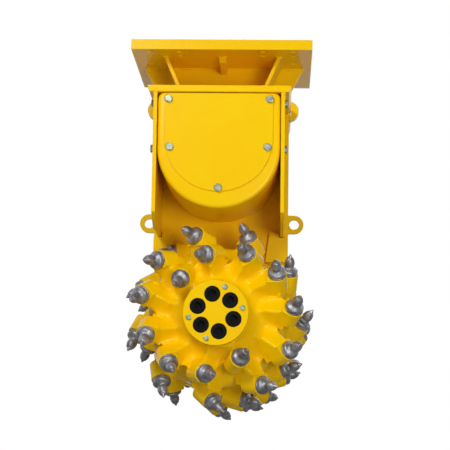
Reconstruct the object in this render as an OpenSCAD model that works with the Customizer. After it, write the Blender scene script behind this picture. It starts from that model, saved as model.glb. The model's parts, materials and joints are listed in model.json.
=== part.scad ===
// Excavator drum cutter with two pick drums, hung from a bolt-on adapter plate.
// Millimetres. X is across the machine, Y is along the drum axis with the front
// drum at negative Y, Z is up. The origin is the centre of the adapter plate's
// top face. Everything hangs below it.

/* [Adapter plate] */
// Width of the plate across the machine
plate_w = 640; // [620:10:720]
// Depth of the plate along the drum axis
plate_d = 600; // [590:10:680]
// Thickness of the plate
plate_t = 36; // [30:1:45]
// Diameter of the mounting holes
plate_hole_d = 26; // [22:1:30]
// Distance of the outer hole rows from the plate's side edges
outer_hole_margin = 63; // [50:1:68]
// Distance between an outer and an inner hole row
hole_row_step = 110; // [97:1:127]
// Distance of the end holes from the plate's front and rear edges
end_hole_margin = 32; // [25:1:45]
// Distance between the end holes and the second holes
second_hole_step = 60; // [48:1:78]
// Distance between the second holes and the near holes
near_hole_step = 110; // [78:1:128]

/* [Bracket] */
// Height of the bracket between the plate and the hood roof
bracket_h = 164; // [150:2:180]
// Thickness of the cross web
web_t = 25; // [20:1:32]
// Distance of the cross web's upper ends from the plate's side edges
web_top_margin = 27; // [20:1:40]
// How far the cross web's foot stands out over the gear case's sides
web_foot_lip = 5; // [0:1:8]
// Height of the web's slanted flanks
web_flank_h = 90; // [70:2:110]
// Thickness of the four slanted gussets
gusset_t = 14; // [10:1:18]
// Distance of a gusset from the web's end at the plate
gusset_top_in = 82; // [70:1:98]
// Distance of a gusset from the web's end at the roof
gusset_foot_in = 106; // [95:1:125]
// Distance of the gussets' free edges from the middle of the plate
gusset_reach = 200; // [170:5:230]
// Width of the centre rib under the plate
rib_w = 23; // [16:1:28]
// Height of the centre rib under the plate
rib_h = 24; // [16:1:40]
// Radius of the round ears beside the roof
ear_r = 35; // [30:1:38]
// Length of the round ears
ear_len = 48; // [30:1:60]
// Drop of the ears' centre below the roof's top face
ear_drop = 6; // [0:1:12]

/* [Roof] */
// Reach of the roof from the middle to its front edge
roof_front = 455; // [440:5:480]
// Reach of the roof from the middle to its rear edge
roof_rear = 300; // [280:5:320]
// Thickness of the roof plate
roof_t = 24; // [18:1:30]
// How far the roof's top edge stands out over the gear case's sides
roof_lip = 8; // [4:1:12]

/* [Guards] */
// Thickness of the guard plates beside the motor casing and behind the gear case
guard_t = 13; // [10:1:15]
// How far the guard plates stand in from the gear case's sides
guard_inset = 15; // [12:1:20]
// Height of the guard plates
guard_h = 456; // [420:2:480]
// Height of the slope at a guard plate's lower front corner
guard_slope_h = 40; // [30:1:70]
// Length of the slope at a guard plate's lower front corner
guard_slope_len = 80; // [50:1:120]
// Drop of the upper guard bolt below the roof's top face
guard_bolt_drop = 57; // [45:1:80]
// Distance between the two guard bolts
guard_bolt_step = 159; // [120:1:200]

/* [Motor casing] */
// Drop of the motor axis below the plate's top face
motor_drop = 415; // [405:1:425]
// Wall thickness of the motor casing
casing_t = 12; // [8:1:16]
// Distance from the casing's side edges to the cover's
cover_side_margin = 25; // [20:1:32]
// Thickness of the cover
cover_t = 5; // [4:1:10]
// Margin below the cover on the casing's face
cover_foot_margin = 57; // [50:1:62]
// Width across flats of the cover and guard bolts
bolt_af = 24; // [18:1:27]
// Diameter of the cover and guard bolts
bolt_d = 16; // [12:1:18]
// Radius of the hydraulic motor's body
motor_r = 108; // [95:1:120]

/* [Gear train] */
// Gear module, the pitch diameter for one tooth
gear_module = 10; // [9.9:0.05:10.1]
// Width of the gears
gear_w = 88; // [70:2:92]
// Width of the gear case
case_w = 480; // [470:2:500]
// Half depth of the gear case
case_y = 110; // [108:1:116]
// Wall of the gear case round the drum gear
case_wall = 21; // [18:1:28]
// Thickness of the wear plates on the gear case
wear_t = 25; // [18:1:27]
// How far the wear plates and shields reach over the picks' circle
face_margin = 31; // [24:1:40]
// Radius of the wear plates' curved top edge
wear_arc_r = 500; // [440:10:560]
// Thickness of the shields between the wear plates
shield_t = 4; // [3:1:6]
// Radius of the shields' curved top edge
shield_arc_r = 700; // [640:10:760]
// Radius of the drum shaft
shaft_r = 98; // [94:1:100]
// Radius of the idler axle and the pinion shaft
axle_r = 45; // [40:1:50]
// Radius of the idler axle's end caps
axle_cap_r = 58; // [54:1:64]

/* [Drums] */
// Radius of the drum body at its inner end
body_r = 242; // [236:1:246]
// Radius of the drum's neck behind the end plate
neck_r = 112; // [110:1:118]
// Distance from the middle to the outer face of an end plate
hub_reach = 497; // [492:1:504]
// Step from the neck down to the end plate
end_plate_step = 3; // [2:1:7]
// Thickness of the end plate
end_plate_t = 44; // [40:1:50]
// Distance from the middle to a drum's inner end
drum_inner_y = 150; // [146:1:156]
// Pitch circle diameter of the six clamp screws
clamp_pcd = 127; // [118:1:130]
// Head diameter of a clamp screw
clamp_head_d = 54; // [48:1:56]
// Pitch circle diameter of the four small screws
small_pcd = 183; // [180:1:188]
// Head diameter of the small screws
small_head_d = 23; // [18:1:24]

/* [Picks] */
// Gauge of a pick, from its point to the back of its flange
pick_gauge = 75; // [70:1:80]
// Radius of the pick's flange
pick_flange_r = 31; // [27:1:31]
// Radius of the pick's shank
pick_shank_r = 15; // [12:1:17]
// Length of the pick's shank
pick_shank_len = 78; // [70:1:82]
// Radius of a pick holder's barrel
holder_r = 34; // [32:1:35]
// Length of a pick holder
holder_len = 88; // [84:1:92]
// Width of a pick holder's foot
holder_foot_w = 64; // [50:1:66]
// How far the outer picks' points stand over the drum body
pick_stand = 88; // [84:1:96]
// How far the nose picks' points stand out from the neck
nose_stand = 53; // [50:1:60]
// How far the nose picks' points reach beyond the end plates
nose_reach = 25; // [20:1:40]
// Distance of the innermost picks' points from the drums' inner ends
inner_pick_in = 52; // [46:1:60]

/* [Lifting lugs] */
// Outer radius of a lifting lug
lug_r = 33.5; // [30:0.5:38]
// Diameter of a lifting lug's hole
lug_hole_d = 35; // [28:1:40]
// Thickness of a lifting lug
lug_t = 20; // [15:1:30]
// Drop of the lugs' holes below the plate's top face
lug_drop = 623; // [600:1:640]
// How far a lug's hole stands out from the gear case's side
lug_out = 22; // [20:1:28]

/* [Hidden] */
$fn = 96;

// Small shared values
overrun = 1;
running_gap = 0.05;
seat_gap = 0.05;
air_gap = 2;
full_turn = 360;
half_turn = 180;
quarter_turn = 90;

paint = "#FCC800";
steel = "#8A8C8E";
zinc = "#B9C2BC";
black = "#1C1C1C";
iron = "#6A6B6C";
carbide = "#4A4B4E";

// Plate holes and web
outer_hole_x = plate_w / 2 - outer_hole_margin;
inner_hole_x = outer_hole_x - hole_row_step;
end_hole_y = plate_d / 2 - end_hole_margin;
second_hole_y = end_hole_y - second_hole_step;
near_hole_y = second_hole_y - near_hole_step;
web_top_x = plate_w / 2 - web_top_margin;
web_foot_x = case_w / 2 + web_foot_lip;
gusset_top_x = web_top_x - gusset_top_in;
gusset_foot_x = web_foot_x - gusset_foot_in;

// Heights
roof_top_z = -(plate_t + bracket_h);
roof_low_z = roof_top_z - roof_t;
motor_z = -motor_drop;
pinion_teeth = 24;
idler_teeth = 28;
drum_teeth = 34;
idler_z = motor_z - gear_module * (pinion_teeth + idler_teeth) / 2;
drum_z = idler_z - gear_module * (idler_teeth + drum_teeth) / 2;

// Roof and guards
case_x = case_w / 2;
roof_front_y = -roof_front;
guard_x = case_x - guard_inset;
guard_inner_x = guard_x - guard_t;
casing_r = guard_inner_x - air_gap;
cover_r = casing_r - cover_side_margin;
guard_bolt_inset = 40;

// Casing and cover
casing_front_y = roof_front_y + cover_t;
cover_z = motor_z - casing_r + cover_foot_margin + cover_r;
cover_top_z = roof_low_z - cover_t;
gasket_t = 1;
bolt_head_h = 10;
casing_corner_r = 24;
service_margin = 45;
service_hole_r = cover_r - service_margin;
rear_cover_t = 15;
cover_bolt_margin = 12;
mid_bolt_x_share = 0.965;
mid_bolt_z_share = 0.19;
rear_bolt_count = 8;

// Gear case
cavity_y = gear_w / 2 + air_gap * 4;
case_lip_t = 6;
bearing_wall = 36;
bearing_y = case_y - case_lip_t;
bearing_bore_r = axle_r + bearing_wall;
cavity_gap = 14;
case_foot_r = gear_module * drum_teeth / 2 + gear_module + cavity_gap + case_wall;
case_shoulder_rise = 245;
case_shoulder_z = drum_z + case_shoulder_rise;
bearing_r = 150;
seal_r = 126;
seal_wall = 15;
seal_reach = 28;
seal_front_y = case_y + seal_reach;
spline_len = 56;
motor_flange_t = 48;
axle_cap_t = 6;
wear_top_share = 0.97;
wear_foot_share = 0.665;

// Drums
end_plate_r = neck_r - end_plate_step;
plate_inner_y = hub_reach - end_plate_t;
body_len = plate_inner_y - drum_inner_y;
dish_share = 0.495;
dish_y = drum_inner_y + dish_share * body_len;
dish_steps = 12;
shell_t = 26;
shell_web_share = 0.645;
shell_web_y = drum_inner_y + shell_web_share * body_len;
clamp_d = 36;
clamp_head_h = 34;
clamp_count = 6;
clamp_start = 40.6;
clamp_len = 70;
small_head_h = 5;
small_angles = [10.7, 70.7, 190.7, 250.7];

// Twelve rows of picks on each of two starts. Row 0 is the nose row. Radii are
// shares of the way from the nose circle to the outer circle, reaches are
// shares of the way from the innermost points to the nose points, and the rest
// are degrees: the places of the points round the drum, and how far each pick
// leans out from the tangent, along to the drum's end, and the face below it.
nose_r = neck_r + nose_stand;
tip_r = body_r + pick_stand;
tip_reach = hub_reach + nose_reach;
inner_pick_y = drum_inner_y + inner_pick_in;
row_r_shares = [0, 0.26, 0.46, 0.62, 0.76, 0.86, 0.934, 0.988, 1, 1, 1, 1];
row_y_shares = [1, 0.987, 0.969, 0.945, 0.9, 0.829, 0.7275, 0.6, 0.457, 0.307, 0.153, 0];
row_out_angles = [0, 12, 25, 36, 44, 48, 49, 48, 47, 47, 46, 44];
row_end_angles = [62, 58, 57, 55, 53, 48, 41, 35, 31, 27, 20, 8];
row_face_angles = [70, 60, 52, 46, 38, 30, 22, 14, 8, 4, 0, 0];
start_a_angles = [147, 110.5, 72.3, 42, 11.9, -18.7, -48.9, -84.8, -122.6, -159.2, -192.6, -225.9];
start_b_angles = [310.9, 270.6, 235.5, 204.6, 172.6, 144.4, 112.8, 76.6, 41.1, 5.4, -27.3, -61.8];
rows = len(row_r_shares);

// Pick details
tip_len = 14;
tip_base_r = 9;
tip_socket_t = 1.5;
// Outline of a pick's nose as shares of the flange radius and of the gauge
pick_nose_shares = [
    [0.42, 0.25], [0.55, 0.4], [0.565, 0.45], [0.515, 0.53], [0.5, 0.59], [0.58, 0.65], [0.77, 0.72],
    [0.94, 0.76], [1, 0.8], [1, 0.88], [0.97, 0.905], [1, 0.93], [1, 1]
];
// Outline of the carbide point as shares of its base radius and of its length
tip_shares = [[0, 0], [0.33, 0.2], [0.75, 0.6], [1, 1]];
socket_share = 0.8;
holder_front = pick_gauge;
holder_back = pick_gauge + holder_len;
foot_depth = pick_stand + air_gap;
foot_slope = 58;
foot_lip_share = 0.7;
window_len = 24;

// Ports, plugs and lugs
port_y = -80;
port_r = 18.5;
port_h = 66;
port_cap_h = 26;
port_base_r = 26;
port_gap = 3;
port_x = gusset_foot_x - gusset_t - port_base_r - port_gap;
port_base_h = 14;
plug_r = 15;
plug_h = 8;
lug_x = case_x + lug_out;
lug_y = -50;

// Sweep a flat X-Z outline from one Y to a larger Y
module along_y(y0, y1) {
    translate([0, y1, 0]) rotate([quarter_turn, 0, 0]) linear_extrude(y1 - y0) children();
}

// A round bar along Y
module y_rod(r, y0, y1, x = 0, z = 0) {
    along_y(y0, y1) translate([x, z]) circle(r);
}

// A plain ring along Y
module y_ring(outer, inner, y0, y1, z = 0) {
    along_y(y0, y1) translate([0, z]) difference() {
        circle(outer);
        circle(inner);
    }
}

// The same thing at the front and at the rear
module front_and_rear() {
    children();
    mirror([0, 1, 0]) children();
}

// The same thing on the right and on the left
module right_and_left() {
    children();
    mirror([1, 0, 0]) children();
}

// Flat rectangle between two corners
module plane_box(x0, z0, x1, z1) {
    translate([x0, z0]) square([x1 - x0, z1 - z0]);
}

// Block between two corners
module block(low, high) {
    translate(low) cube(high - low);
}

// Hexagon bolt with its seat at z = 0 and its head above
module hex_bolt(d, af, head_h, len) {
    cylinder(h = head_h, d = af / cos(full_turn / 12), $fn = 6);
    translate([0, 0, -len]) cylinder(h = len, d = d);
}

// D-shaped outline: half round below, straight sides, rounded upper corners
module dee(r, centre_z, top_z, corner) {
    intersection() {
        translate([0, centre_z]) circle(r);
        plane_box(-r, centre_z - r, r, centre_z);
    }
    plane_box(-r, centre_z, r, top_z - corner);
    plane_box(-r + corner, centre_z, r - corner, top_z);
    for (side = [-1, 1]) translate([side * (r - corner), top_z - corner]) circle(corner);
}

// One point of an involute flank, at an angle of roll
function involute(base_r, roll) =
    base_r * [cos(roll) + roll * PI / half_turn * sin(roll),
              sin(roll) - roll * PI / half_turn * cos(roll)];
function turned(p, a) = [p[0] * cos(a) - p[1] * sin(a), p[0] * sin(a) + p[1] * cos(a)];
function roll_at(base_r, r) = sqrt(max(0, pow(r / base_r, 2) - 1)) * half_turn / PI;

pressure = 20;
backlash_share = 0.06;
root_share = 1.25;
flank_steps = 4;

// Outline of a spur gear with its first tooth at the given angle
module gear_outline(teeth, first) {
    pitch_r = gear_module * teeth / 2;
    base_r = pitch_r * cos(pressure);
    outer_r = pitch_r + gear_module;
    root_r = pitch_r - root_share * gear_module;
    top_roll = roll_at(base_r, outer_r);
    start_roll = roll_at(base_r, max(base_r, root_r));
    spread = tan(pressure) * half_turn / PI - pressure;
    backlash_turn = backlash_share * gear_module / pitch_r * half_turn / PI;
    half_tooth = full_turn / teeth / 4 - backlash_turn / 2 + spread;
    flank = [for (i = [0:flank_steps])
        turned(involute(base_r, start_roll + (top_roll - start_roll) * i / flank_steps), -half_tooth)];
    foot = turned([root_r, 0], -half_tooth - spread / 2);
    side = concat([foot], flank);
    tooth = concat(side, [for (i = [len(side) - 1:-1:0]) [side[i][0], -side[i][1]]]);
    polygon([for (t = [0:teeth - 1]) for (p = tooth) turned(p, first + full_turn * t / teeth)]);
}

// Gear in its place on the train
module gear(teeth, first, z, bore_r) {
    along_y(-gear_w / 2, gear_w / 2) translate([0, z]) difference() {
        gear_outline(teeth, first);
        circle(bore_r);
    }
}

// Plate and bracket
module adapter_plate() color(paint) difference() {
    block([-plate_w / 2, -plate_d / 2, -plate_t], [plate_w / 2, plate_d / 2, 0]);
    for (sx = [-1, 1], sy = [-1, 1]) {
        for (y = [end_hole_y, second_hole_y, near_hole_y]) plate_hole(sx * outer_hole_x, sy * y);
        for (y = [end_hole_y, second_hole_y]) plate_hole(sx * inner_hole_x, sy * y);
    }
}

module plate_hole(x, y) {
    translate([x, y, -plate_t - overrun]) cylinder(h = plate_t + 2 * overrun, d = plate_hole_d);
}

module bracket_web() color(paint) along_y(-web_t / 2, web_t / 2) polygon([
    [-web_top_x, -plate_t], [web_top_x, -plate_t],
    [web_foot_x, -plate_t - web_flank_h], [web_foot_x, roof_top_z],
    [-web_foot_x, roof_top_z], [-web_foot_x, -plate_t - web_flank_h]
]);

module gusset_pair() color(paint) front_and_rear()
    along_y(-gusset_reach, -web_t / 2) polygon([
        [gusset_top_x, -plate_t], [gusset_top_x - gusset_t, -plate_t],
        [gusset_foot_x - gusset_t, roof_top_z], [gusset_foot_x, roof_top_z]
    ]);

module bracket_gussets_right() gusset_pair();
module bracket_gussets_left() mirror([1, 0, 0]) gusset_pair();

module bracket_centre_ribs() color(paint) front_and_rear()
    block([-rib_w / 2, -gusset_reach, -plate_t - rib_h], [rib_w / 2, -web_t / 2, -plate_t]);

module bracket_ears() color(paint) right_and_left() difference() {
    y_rod(ear_r, lug_y - ear_len / 2, lug_y + ear_len / 2, case_x, roof_top_z - ear_drop);
    along_y(lug_y - ear_len, lug_y + ear_len) {
        plane_box(0, roof_low_z, case_x + roof_lip, roof_top_z + 2 * ear_r);
        plane_box(0, roof_low_z - 2 * ear_r, case_x, roof_top_z);
    }
}

// Roof
module roof_plate() color(paint) along_y(roof_front_y, roof_rear) polygon([
    [-case_x - roof_lip, roof_top_z], [case_x + roof_lip, roof_top_z],
    [case_x, roof_low_z], [-case_x, roof_low_z]
]);

// Guard plates beside the motor casing, with a slope at the lower front corner
module guard_right() color(paint) difference() {
    guard_plate(roof_front_y, -case_y);
    guard_bolt_places() translate([0, 0, -guard_t * 2]) cylinder(h = guard_t * 3, d = bolt_d);
}
module guard_left() mirror([1, 0, 0]) guard_right();

module rear_guard_right() color(paint) mirror([0, 1, 0]) guard_plate(-roof_rear, -case_y);
module rear_guard_left() mirror([1, 0, 0]) rear_guard_right();

module guard_plate(front_y, back_y) {
    foot_z = roof_low_z - guard_h;
    translate([guard_inner_x, 0, 0]) rotate([quarter_turn, 0, quarter_turn])
        linear_extrude(guard_t) polygon([
            [front_y, roof_low_z], [front_y, foot_z + guard_slope_h],
            [front_y + guard_slope_len, foot_z], [back_y, foot_z], [back_y, roof_low_z]
        ]);
}

module guard_bolt_places() {
    for (drop = [guard_bolt_drop, guard_bolt_drop + guard_bolt_step])
        translate([guard_x, roof_front_y + guard_bolt_inset, roof_top_z - drop])
            rotate([0, quarter_turn, 0]) children();
}

module guard_bolts() color(zinc) right_and_left() guard_bolt_places()
    hex_bolt(bolt_d - 2 * seat_gap, bolt_af, bolt_head_h, guard_t);

// Motor casing and covers
module motor_casing() color(paint) difference() {
    along_y(casing_front_y, -case_y) dee(casing_r, motor_z, roof_low_z, casing_corner_r);
    along_y(casing_front_y + casing_t, -case_y + overrun)
        dee(casing_r - casing_t, motor_z, roof_low_z - casing_t, casing_corner_r - casing_t);
    y_rod(service_hole_r, casing_front_y - overrun, casing_front_y + casing_t + overrun, 0, motor_z);
    cover_bolt_places() translate([0, 0, -2 * casing_t]) cylinder(h = 2 * casing_t, d = bolt_d);
    y_rod(axle_cap_r + air_gap, -case_y - axle_cap_t - air_gap, -case_y + overrun, 0, idler_z);
}

module motor_cover() color(paint) difference() {
    along_y(roof_front_y, casing_front_y - gasket_t) dee(cover_r, cover_z, cover_top_z, casing_corner_r);
    cover_bolt_places() translate([0, 0, -2 * cover_t]) cylinder(h = 3 * cover_t, d = bolt_d);
}

module motor_cover_gasket() color(black) difference() {
    along_y(casing_front_y - gasket_t, casing_front_y) difference() {
        dee(cover_r - overrun, cover_z, cover_top_z - overrun, casing_corner_r);
        translate([0, motor_z]) circle(service_hole_r);
    }
    cover_bolt_places() translate([0, 0, -2 * cover_t]) cylinder(h = 3 * cover_t, d = bolt_d);
}

// Five bolts on the cover: two high, two on the flanks, one at the foot
module cover_bolt_places() {
    edge = cover_r - cover_bolt_margin;
    places = [
        [-edge, cover_top_z - cover_bolt_margin - bolt_d / 2],
        [edge, cover_top_z - cover_bolt_margin - bolt_d / 2],
        [-edge * mid_bolt_x_share, cover_z - edge * mid_bolt_z_share],
        [edge * mid_bolt_x_share, cover_z - edge * mid_bolt_z_share],
        [0, cover_z - edge]
    ];
    for (p = places)
        translate([p[0], roof_front_y, p[1]]) rotate([quarter_turn, 0, 0]) children();
}

module motor_cover_bolts() color(zinc) cover_bolt_places()
    hex_bolt(bolt_d - 2 * seat_gap, bolt_af, bolt_head_h, cover_t + casing_t);

module rear_bolt_places() {
    for (i = [0:rear_bolt_count - 1]) rotate([0, (i + 0.5) * full_turn / rear_bolt_count, 0])
        translate([bearing_bore_r + bolt_af, 0, 0]) rotate([-quarter_turn, 0, 0]) children();
}

module rear_cover() color(paint) difference() {
    y_rod(bearing_bore_r + 2 * bolt_af, case_y, case_y + rear_cover_t, 0, motor_z);
    translate([0, case_y + rear_cover_t, motor_z]) rear_bolt_places()
        translate([0, 0, -2 * rear_cover_t]) cylinder(h = 3 * rear_cover_t, d = bolt_d);
}

module rear_cover_bolts() color(zinc) translate([0, case_y + rear_cover_t, motor_z]) rear_bolt_places()
    hex_bolt(bolt_d - 2 * seat_gap, bolt_af, bolt_head_h, rear_cover_t);

// Gear case, split on the middle plane
module case_outline() {
    flank = [[case_x, roof_low_z], [case_x, case_shoulder_z], [case_foot_r, drum_z]];
    polygon(concat(flank, [for (i = [len(flank) - 1:-1:0]) [-flank[i][0], flank[i][1]]]));
    translate([0, drum_z]) circle(case_foot_r);
}

module case_cavity() {
    wheels = [[pinion_teeth, motor_z], [idler_teeth, idler_z], [drum_teeth, drum_z]];
    for (w = wheels)
        translate([0, w[1]]) circle(gear_module * w[0] / 2 + gear_module + cavity_gap);
    neck_x = gear_module * pinion_teeth / 2;
    plane_box(-neck_x, drum_z, neck_x, motor_z);
}

module case_half() color(paint) difference() {
    union() {
        along_y(-case_y, 0) case_outline();
        y_rod(seal_r + seal_wall, -seal_front_y, -case_y, 0, drum_z);
    }
    along_y(-cavity_y, overrun) case_cavity();
    y_rod(bearing_bore_r, -bearing_y, overrun, 0, motor_z);
    y_rod(axle_r + seat_gap, -case_y - overrun, overrun, 0, idler_z);
    y_rod(bearing_r + seat_gap, -bearing_y, overrun, 0, drum_z);
    y_rod(seal_r + seat_gap, -seal_front_y - overrun, overrun, 0, drum_z);
}

module gear_case_front() difference() {
    case_half();
    y_rod(axle_r + air_gap, -case_y - overrun, overrun, 0, motor_z);
}
module gear_case_rear() mirror([0, 1, 0]) difference() {
    case_half();
    y_rod(bearing_bore_r, -case_y - overrun, overrun, 0, motor_z);
}

// Flat area of a case face, up to a curved edge over the picks' circle
module face_outline(arc_r) intersection() {
    case_outline();
    translate([0, drum_z + tip_r + face_margin - arc_r]) circle(arc_r);
    plane_box(-case_x, drum_z + case_foot_r, case_x, roof_low_z);
}

// The two wear plates of a face, clear of the guard plates' feet
module wear_outline() difference() {
    face_outline(wear_arc_r);
    translate([0, drum_z]) circle(body_r);
    polygon([
        [case_x * wear_top_share, roof_low_z], [case_x * wear_foot_share, drum_z + case_foot_r],
        [case_x * wear_foot_share, drum_z], [-case_x * wear_foot_share, drum_z],
        [-case_x * wear_foot_share, drum_z + case_foot_r], [-case_x * wear_top_share, roof_low_z]
    ]);
    right_and_left() plane_box(
        guard_inner_x - air_gap, roof_low_z - guard_h - air_gap, guard_x + air_gap, roof_low_z
    );
}

module wear_plates() color(paint) front_and_rear() along_y(-case_y - wear_t, -case_y) wear_outline();

// Thin shields between the wear plates, round the idler's caps and below the casing
module case_shields() color(paint) front_and_rear() along_y(-case_y - shield_t, -case_y) difference() {
    face_outline(shield_arc_r);
    wear_outline();
    right_and_left() plane_box(guard_inner_x - air_gap, drum_z, 2 * case_x, roof_low_z);
    translate([0, motor_z]) circle(casing_r + air_gap);
    translate([0, idler_z]) circle(axle_cap_r + seat_gap);
}

// Drive inside the case
module hydraulic_motor() color(iron) difference() {
    union() {
        y_rod(motor_r, casing_front_y + 2 * casing_t, -case_y, 0, motor_z);
        y_rod(service_hole_r, -case_y - motor_flange_t, -case_y, 0, motor_z);
    }
    y_rod(axle_r / 2 + running_gap, -case_y - spline_len - air_gap, -case_y + overrun, 0, motor_z);
}

module motor_shaft() color(steel) {
    y_rod(axle_r, -case_y + air_gap, bearing_y - air_gap, 0, motor_z);
    y_rod(axle_r / 2, -case_y - spline_len, -case_y + air_gap, 0, motor_z);
}

module drive_pinion() color(steel) gear(pinion_teeth, -quarter_turn, motor_z, axle_r + seat_gap);

module pinion_bearings() color(steel) front_and_rear()
    y_ring(bearing_bore_r - seat_gap, axle_r + running_gap, -bearing_y, -cavity_y, motor_z);

module idler_gear() color(steel)
    gear(idler_teeth, quarter_turn + half_turn / idler_teeth, idler_z, bearing_bore_r);

module idler_bearing() color(steel)
    y_ring(bearing_bore_r - seat_gap, axle_r + running_gap, -gear_w / 2, gear_w / 2, idler_z);

module idler_axle() color(steel) y_rod(axle_r, -case_y, case_y, 0, idler_z);

module idler_caps() color(paint) front_and_rear()
    y_rod(axle_cap_r, -case_y - axle_cap_t, -case_y, 0, idler_z);

module drum_gear() color(steel) gear(drum_teeth, quarter_turn, drum_z, shaft_r + seat_gap);

module drum_shaft() color(steel) difference() {
    y_rod(shaft_r, -plate_inner_y, plate_inner_y, 0, drum_z);
    front_and_rear() clamp_places() translate([0, 0, -clamp_len - clamp_head_h - overrun])
        cylinder(h = clamp_len + clamp_head_h, d = clamp_d);
}

module drum_bearings() color(steel) front_and_rear()
    y_ring(bearing_r, shaft_r + running_gap, -bearing_y, -cavity_y, drum_z);

module drum_seals() color(black) front_and_rear()
    y_ring(seal_r, shaft_r + running_gap, -seal_front_y, -bearing_y - seat_gap, drum_z);

// Drum bodies
dish_points = [for (i = [0:dish_steps])
    [neck_r + (body_r - neck_r) * (1 - cos(half_turn * i / dish_steps)) / 2,
     plate_inner_y + (dish_y - plate_inner_y) * i / dish_steps]];

// Turn a radius and reach outline round the drum axis, at the front
module drum_turn() translate([0, 0, drum_z]) rotate([quarter_turn, 0, 0]) rotate_extrude() children();

module drum_outline() polygon(concat(
    [[0, plate_inner_y]], dish_points, [[body_r, drum_inner_y], [0, drum_inner_y]]));

module drum_shell() color(paint) difference() {
    drum_turn() difference() {
        drum_outline();
        translate([0, drum_inner_y - overrun]) square([shaft_r + seat_gap, body_len + 2 * overrun]);
        polygon([
            [shaft_r + shell_t, drum_inner_y + shell_t], [body_r - shell_t, drum_inner_y + shell_t],
            [body_r - shell_t, dish_y - shell_t], [shaft_r + shell_t, shell_web_y]
        ]);
    }
    each_pick(0) shank_bore();
}
module drum_shell_front() drum_shell();
module drum_shell_rear() mirror([0, 1, 0]) drum_shell();

module end_plate() color(paint) difference() {
    y_rod(end_plate_r, -hub_reach, -plate_inner_y, 0, drum_z);
    clamp_places() {
        translate([0, 0, -clamp_head_h]) cylinder(h = clamp_head_h + overrun, d = clamp_head_d);
        translate([0, 0, -end_plate_t - overrun]) cylinder(h = end_plate_t, d = clamp_d);
    }
}
module end_plate_front() end_plate();
module end_plate_rear() mirror([0, 1, 0]) end_plate();

module clamp_places() {
    translate([0, -hub_reach, drum_z]) rotate([quarter_turn, 0, 0])
        for (i = [0:clamp_count - 1]) rotate([0, 0, clamp_start + i * full_turn / clamp_count])
            translate([clamp_pcd / 2, 0, 0]) children();
}

module clamp_screws() color(black) front_and_rear() clamp_places() difference() {
    union() {
        translate([0, 0, -clamp_head_h]) cylinder(h = clamp_head_h, d = clamp_head_d - 2 * seat_gap);
        translate([0, 0, -clamp_len - clamp_head_h])
            cylinder(h = clamp_len + overrun, d = clamp_d - 2 * seat_gap);
    }
    translate([0, 0, -clamp_head_h / 2]) cylinder(h = clamp_head_h, d = clamp_d * socket_share, $fn = 6);
}

module end_plate_screws() color(zinc) front_and_rear()
    translate([0, -hub_reach, drum_z]) rotate([quarter_turn, 0, 0])
        for (a = small_angles) rotate([0, 0, a]) translate([small_pcd / 2, 0, 0])
            cylinder(h = small_head_h, d = small_head_d);

// Frame of one pick: its point at the origin and its shank along negative z.
// The x axis points to the drum's body, where the holder's foot stands.
module pick_place(row, angle) {
    out = row_out_angles[row];
    end = row_end_angles[row];
    face = row_face_angles[row];
    point_r = nose_r + (tip_r - nose_r) * row_r_shares[row];
    point_y = inner_pick_y + (tip_reach - inner_pick_y) * row_y_shares[row];
    foot = atan2(cos(face) * cos(out), sin(face) * cos(end) - cos(face) * sin(end) * sin(out));
    translate([0, 0, drum_z]) rotate([quarter_turn, 0, 0])
        rotate([0, 0, angle]) translate([point_r, 0, point_y])
            rotate([0, 0, quarter_turn - out]) rotate([0, quarter_turn - end, 0])
                rotate([0, 0, foot]) children();
}

module each_pick(first_row) {
    for (row = [first_row:rows - 1], angle = [start_a_angles[row], start_b_angles[row]])
        pick_place(row, angle) children();
}

// Steel body of a pick: a cone, a groove for pulling it, a flange and a shank
module pick_body() rotate_extrude() polygon(concat(
    [[0, -tip_len], [tip_base_r + tip_socket_t, -tip_len]],
    [for (p = pick_nose_shares) [p[0] * pick_flange_r, -p[1] * pick_gauge]],
    [[pick_shank_r, -pick_gauge], [pick_shank_r, -pick_gauge - pick_shank_len],
     [0, -pick_gauge - pick_shank_len]]
));

// Carbide point brazed on a pick
module pick_tip() rotate_extrude() polygon(concat(
    [for (p = tip_shares) [p[0] * tip_base_r, -p[1] * tip_len]], [[0, -tip_len]]));

// Room for a pick's shank, from its flange to the back of its holder
module shank_bore() translate([0, 0, -holder_back - overrun])
    cylinder(h = holder_len + 2 * overrun, r = pick_shank_r + running_gap);

// Room in which a pick's flange and nose turn clear of the next holder
module flange_room()
    translate([0, 0, -pick_gauge - running_gap])
        cylinder(h = pick_gauge + running_gap, r = pick_flange_r + air_gap);

// Holder: a barrel on a foot, bored for the shank, with a window behind it
module pick_holder() difference() {
    union() {
        translate([0, 0, -holder_back]) cylinder(h = holder_len, r = holder_r);
        along_y(-holder_foot_w / 2, holder_foot_w / 2) polygon([
            [0, -holder_front], [holder_r * foot_lip_share, -holder_front],
            [foot_depth, -holder_front - foot_slope], [foot_depth, -holder_back],
            [0, -holder_back]
        ]);
    }
    shank_bore();
    translate([-holder_r * 2, -holder_r * 2, -holder_back - overrun])
        cube([holder_r * 2, holder_r * 4, window_len + overrun]);
}

module pick_holders() color(paint) difference() {
    each_pick(0) pick_holder();
    drum_turn() drum_outline();
    for (angle = [start_a_angles[0], start_b_angles[0]]) pick_place(0, angle) {
        flange_room();
        shank_bore();
    }
}
module pick_holders_front() pick_holders();
module pick_holders_rear() mirror([0, 1, 0]) pick_holders();

module picks_front() color(steel) each_pick(1) pick_body();
module picks_rear() mirror([0, 1, 0]) picks_front();
module pick_tips_front() color(carbide) each_pick(1) pick_tip();
module pick_tips_rear() mirror([0, 1, 0]) pick_tips_front();

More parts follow.
